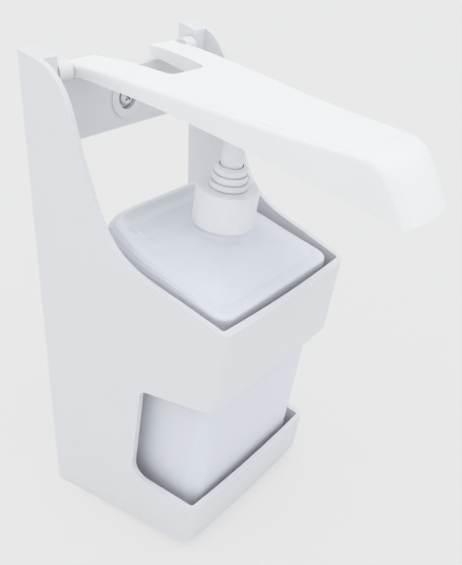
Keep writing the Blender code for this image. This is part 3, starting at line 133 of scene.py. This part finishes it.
class Recipe:
    """A procedural material that is wired step by step."""

    def __init__(self, name):
        self.material = bpy.data.materials.new(name)
        self.material.use_nodes = True
        self.tree = self.material.node_tree
        self.shader = self.tree.nodes["Principled BSDF"]
        self.place = self.add("ShaderNodeTexCoord").outputs["Object"]

    def add(self, kind, **settings):
        node = self.tree.nodes.new(kind)
        for key, value in settings.items():
            setattr(node, key, value)
        return node

    def link(self, source, target):
        self.tree.links.new(source, target)

    def noise(self, size, detail=2.0, rough=0.5, stretch=(1, 1, 1), shift=(0, 0, 0)):
        """Noise whose waves are about size metres long, 0 to 1."""
        mapping = self.add("ShaderNodeMapping")
        mapping.inputs["Scale"].default_value = [part / size for part in stretch]
        mapping.inputs["Location"].default_value = shift
        self.link(self.place, mapping.inputs["Vector"])
        node = self.add("ShaderNodeTexNoise")
        node.inputs["Scale"].default_value = 1.0
        node.inputs["Detail"].default_value = detail
        node.inputs["Roughness"].default_value = rough
        self.link(mapping.outputs[0], node.inputs["Vector"])
        return node.outputs["Fac"]

    def spread(self, source, low, high, start=NOISE_LOW, end=NOISE_HIGH):
        """Source from start..end taken to low..high."""
        node = self.add("ShaderNodeMapRange")
        for key, value in zip(("From Min", "From Max", "To Min", "To Max"), (start, end, low, high)):
            node.inputs[key].default_value = value
        self.link(source, node.inputs["Value"])
        return node.outputs[0]

    def sum(self, kind, first, second):
        """First and second, numbers or sockets, joined by a sum of this kind."""
        node = self.add("ShaderNodeMath", operation=kind)
        for socket, value in zip(node.inputs, (first, second)):
            if isinstance(value, (int, float)):
                socket.default_value = value
            else:
                self.link(value, socket)
        return node.outputs[0]

    def blend(self, amount, first, second):
        """Colour between first and second."""
        node = self.add("ShaderNodeMix", data_type="RGBA")
        self.link(amount, node.inputs["Factor"])
        for socket, value in zip((node.inputs[6], node.inputs[7]), (first, second)):
            if isinstance(value, tuple):
                socket.default_value = (*value, 1)
            else:
                self.link(value, socket)
        return node.outputs[2]

    def corner(self, reach, inside):
        """1 in a fold, or on an edge where inside is true, 0 on open surface."""
        node = self.add("ShaderNodeAmbientOcclusion", samples=FOLD_SAMPLES, inside=inside, only_local=inside)
        node.inputs["Distance"].default_value = reach
        return self.spread(node.outputs["AO"], 1.0, 0.0, FOLD_LOW, FOLD_HIGH)

    def bump(self, height, depth, under=None):
        """Surface slope from height, over the slope under."""
        node = self.add("ShaderNodeBump")
        node.inputs["Distance"].default_value = depth
        self.link(height, node.inputs["Height"])
        if under is not None:
            self.link(under, node.inputs["Normal"])
        return node.outputs[0]


def tint(colour, factor):
    return tuple(part * factor for part in colour)


def moulded(name, colour, rough, grain=GRAIN_SIZE, grain_depth=GRAIN_DEPTH, wave_depth=WAVE_DEPTH,
            soft=0.0, fold_shade_amount=1.0):
    """Satin moulded plastic: fine grain, slow waves, smoother edges with a painted highlight, painted shade
    in folds.
    """
    recipe = Recipe(name)
    clouds = recipe.noise(CLOUD_SIZE, detail=3.0, rough=0.55)
    flow = recipe.noise(FLOW_SIZE, detail=4.0, rough=0.6, stretch=FLOW_STRETCH, shift=FLOW_SHIFT)
    specks = recipe.noise(SPECK_SIZE, detail=3.0, rough=0.6, shift=SPECK_SHIFT)
    body = recipe.blend(recipe.spread(clouds, 0, 1), tint(colour, 1 - SHADE), colour)
    body = recipe.blend(recipe.spread(flow, 0, FLOW_AMOUNT), body, tint(colour, 1 - SHADE * FLOW_SHADE))
    # Painted shade: folds are darkened towards a grey, in patches set by the specks, and made a little
    # rougher
    painted_fold_shade = recipe.sum("MULTIPLY", recipe.corner(FOLD_SHADE_REACH, False),
                      recipe.spread(specks, FOLD_SHADE_LEAST * fold_shade_amount, FOLD_SHADE_MOST * fold_shade_amount))
    body = recipe.blend(painted_fold_shade, body, tint(FOLD_SHADE_COLOUR, FOLD_SHADE_LEVEL * colour[0]))
    # Edge mask: makes the edges smoother, and lighter in colour as a painted highlight
    edge = recipe.sum("MULTIPLY", recipe.corner(EDGE_REACH, True),
                      recipe.spread(flow, EDGE_LEAST, EDGE_MOST))
    # Painted highlight: the edge colour made lighter, up to a cap
    painted_edge_highlight = tuple(min(EDGE_HIGHLIGHT_CAP, part * EDGE_HIGHLIGHT_GAIN) for part in colour)
    body = recipe.blend(edge, body, painted_edge_highlight)
    recipe.link(body, recipe.shader.inputs["Base Color"])
    gloss = recipe.sum("ADD", recipe.spread(flow, rough - FLOW_ROUGH, rough + FLOW_ROUGH),
                       recipe.spread(specks, -SPECK_ROUGH, SPECK_ROUGH))
    gloss = recipe.sum("SUBTRACT", gloss, recipe.sum("MULTIPLY", edge, EDGE_SMOOTHER))
    gloss = recipe.sum("ADD", gloss, recipe.sum("MULTIPLY", painted_fold_shade, FOLD_ROUGH))
    recipe.link(gloss, recipe.shader.inputs["Roughness"])
    waves = recipe.bump(recipe.noise(WAVE_SIZE, shift=WAVE_SHIFT), wave_depth)
    grained = recipe.bump(recipe.noise(grain, rough=0.6), grain_depth, waves)
    recipe.link(grained, recipe.shader.inputs["Normal"])
    recipe.shader.inputs["IOR"].default_value = PLASTIC_IOR
    if soft:
        recipe.shader.inputs["Subsurface Weight"].default_value = soft
        recipe.shader.inputs["Subsurface Radius"].default_value = SOFT_RADIUS
        recipe.shader.inputs["Subsurface Scale"].default_value = SOFT_SCALE
    return recipe.material


def steel(name, colour, rough):
    """Bright drawn steel: fine draw lines, light scuffs, and painted shade that darkens and roughens its
    folds.
    """
    recipe = Recipe(name)
    lines = recipe.noise(LINE_SIZE, detail=3.0, rough=0.7)
    scuffs = recipe.noise(SCUFF_SIZE, detail=4.0, rough=0.6, shift=SCUFF_SHIFT)
    body = recipe.blend(recipe.spread(scuffs, 0, 1), tint(colour, SCUFF_SHADE), colour)
    # Painted shade: folds are darkened towards a dark grey, and made rougher
    painted_fold_shade = recipe.sum("MULTIPLY", recipe.corner(STEEL_FOLD_SHADE_REACH, False), STEEL_FOLD_SHADE)
    body = recipe.blend(painted_fold_shade, body, STEEL_FOLD_SHADE_COLOUR)
    recipe.link(body, recipe.shader.inputs["Base Color"])
    drawn = recipe.spread(lines, rough - LINE_SMOOTHER, rough + LINE_ROUGHER)
    recipe.link(recipe.sum("ADD", drawn, painted_fold_shade), recipe.shader.inputs["Roughness"])
    recipe.link(recipe.bump(lines, LINE_DEPTH), recipe.shader.inputs["Normal"])
    recipe.shader.inputs["Metallic"].default_value = 1.0
    return recipe.material


# Materials, named by the slots of the frame's pieces
LOOKS = {
    "holder_plastic": moulded("holder_moulded_white", (0.842, 0.846, 0.864), 0.42),
    # Painted light: the lever's white is set lighter than the holder's so its top shows brighter
    "lever_plastic": moulded("lever_moulded_white", (0.922, 0.925, 0.931), 0.38, fold_shade_amount=0.7),
    "spacer_plastic": moulded("spacer_white", (0.88, 0.885, 0.895), 0.36),
    "bottle_plastic": moulded("bottle_blown_white", (0.868, 0.882, 0.936), 0.36,
                              wave_depth=BOTTLE_WAVE_DEPTH, soft=0.35, fold_shade_amount=0.5),
    # Painted light: the pump's white is set lighter than the holder's to cancel the lever's shadow on it
    "pump_plastic": moulded("pump_white", (0.925, 0.932, 0.947), 0.34,
                            wave_depth=PUMP_WAVE_DEPTH, fold_shade_amount=0.35),
    "pump_inner_plastic": moulded("pump_natural", (0.84, 0.85, 0.85), 0.3, soft=0.3),
    "piston_plastic": moulded("piston_grey", (0.70, 0.72, 0.74), 0.4),
    "tube_plastic": moulded("tube_natural", (0.82, 0.83, 0.83), 0.3, soft=0.3),
    "gasket_foam": moulded("gasket_foam", (0.75, 0.75, 0.74), 0.8,
                           grain=FOAM_GRAIN_SIZE, grain_depth=FOAM_GRAIN_DEPTH),
    "stainless_steel": steel("drawn_steel", (0.84, 0.84, 0.86), 0.34),
}


def dress(node):
    """Gives a piece its detailed material in place of its plain one."""
    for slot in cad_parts[node].material_slots:
        slot.material = LOOKS[slot.material.name.split(".")[0]]


def round_edges(node, width):
    """Rounds a piece's hard edges, as a mould does."""
    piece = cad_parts[node]
    weld = piece.modifiers.new("weld", "WELD")
    weld.merge_threshold = WELD_DISTANCE
    flat = piece.modifiers.new("flat", "DECIMATE")
    flat.decimate_type = "DISSOLVE"
    flat.angle_limit = FLAT_ANGLE
    edge = piece.modifiers.new("edge", "BEVEL")
    edge.width = width
    edge.segments = EDGE_SEGMENTS
    edge.limit_method = "ANGLE"
    edge.angle_limit = EDGE_ANGLE
    edge.use_clamp_overlap = True
    edge.harden_normals = False
    even = piece.modifiers.new("even", "WEIGHTED_NORMAL")
    even.keep_sharp = False
    for face in piece.data.polygons:
        face.use_smooth = True


def shader_mix(tree, amount, first, second, out):
    """Wires first and second, mixed by amount, to the output node out."""
    mix = tree.nodes.new("ShaderNodeMixShader")
    tree.links.new(amount, mix.inputs[0])
    tree.links.new(first.outputs[0], mix.inputs[1])
    tree.links.new(second.outputs[0], mix.inputs[2])
    tree.links.new(mix.outputs[0], out.inputs["Surface"])


def stage_floor():
    """Pale paper under the object, partly lit by itself for the camera."""
    mesh = bpy.data.meshes.new("floor")
    form = bmesh.new()
    bmesh.ops.create_circle(form, cap_ends=True, segments=FLOOR_SEGMENTS, radius=FLOOR_RADIUS)
    form.to_mesh(mesh)
    form.free()
    floor = bpy.data.objects.new("floor", mesh)
    floor.location.z = CAD_BOX[0][2]
    SCENE.collection.objects.link(floor)
    material = bpy.data.materials.new("floor_paper")
    material.use_nodes = True
    tree = material.node_tree
    tree.nodes.clear()
    out = tree.nodes.new("ShaderNodeOutputMaterial")
    matt = tree.nodes.new("ShaderNodeBsdfDiffuse")
    matt.inputs["Color"].default_value = (*BACKDROP, 1)
    glow = tree.nodes.new("ShaderNodeEmission")
    glow.inputs["Color"].default_value = (*FLOOR_GLOW, 1)
    path = tree.nodes.new("ShaderNodeLightPath")
    seen = tree.nodes.new("ShaderNodeMath")
    seen.operation = "MULTIPLY"
    seen.inputs[1].default_value = FLOOR_GLOW_SHARE
    tree.links.new(path.outputs["Is Camera Ray"], seen.inputs[0])
    shader_mix(tree, seen.outputs[0], matt, glow, out)
    mesh.materials.append(material)


def world_light():
    """Even light from all round, with the plain backdrop for the camera."""
    world = bpy.data.worlds.new("studio")
    SCENE.world = world
    world.use_nodes = True
    tree = world.node_tree
    tree.nodes.clear()
    out = tree.nodes.new("ShaderNodeOutputWorld")
    lit = tree.nodes.new("ShaderNodeBackground")
    lit.inputs["Color"].default_value = (*WORLD_COLOUR, 1)
    lit.inputs["Strength"].default_value = WORLD_LIGHT
    plain = tree.nodes.new("ShaderNodeBackground")
    plain.inputs["Color"].default_value = (*BACKDROP, 1)
    plain.inputs["Strength"].default_value = 1
    path = tree.nodes.new("ShaderNodeLightPath")
    shader_mix(tree, path.outputs["Is Camera Ray"], lit, plain, out)


def sun(name, toward, strength, angle):
    """A wide soft lamp that shines from the direction toward."""
    data = bpy.data.lights.new(name, "SUN")
    data.energy = strength
    data.angle = angle
    lamp = bpy.data.objects.new(name, data)
    lamp.rotation_euler = Vector(toward).to_track_quat("Z", "Y").to_euler()
    SCENE.collection.objects.link(lamp)


def camera():
    """The camera that shows the object as the photo does."""
    level = Vector((sin(CAMERA_AZIMUTH), -cos(CAMERA_AZIMUTH), 0))
    back = level * cos(CAMERA_ELEVATION) + Vector((0, 0, sin(CAMERA_ELEVATION)))
    right = Vector((cos(CAMERA_AZIMUTH), sin(CAMERA_AZIMUTH), 0))
    down = (-back).cross(right)
    image_right = cos(CAMERA_ROLL) * right - sin(CAMERA_ROLL) * down
    image_down = sin(CAMERA_ROLL) * right + cos(CAMERA_ROLL) * down
    turn = Matrix((image_right, -image_down, back)).transposed()
    data = bpy.data.cameras.new("camera")
    data.sensor_fit = "HORIZONTAL"
    data.sensor_width = SENSOR_WIDTH
    data.lens = FOCAL_PIXELS * SENSOR_WIDTH / IMAGE_WIDTH
    data.clip_start = CAMERA_NEAR
    eye = bpy.data.objects.new("camera", data)
    eye.matrix_world = Matrix.Translation(CAMERA_PLACE) @ turn.to_4x4()
    SCENE.collection.objects.link(eye)
    SCENE.camera = eye


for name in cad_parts:
    dress(name)
for name, width in EDGE_WIDTHS.items():
    round_edges(name, width)
stage_floor()
world_light()
sun("top_light", TOP_LIGHT_FROM, TOP_LIGHT, TOP_LIGHT_ANGLE)
sun("side_light", SIDE_LIGHT_FROM, SIDE_LIGHT, SIDE_LIGHT_ANGLE)
camera()
SCENE.view_settings.view_transform = "Standard"
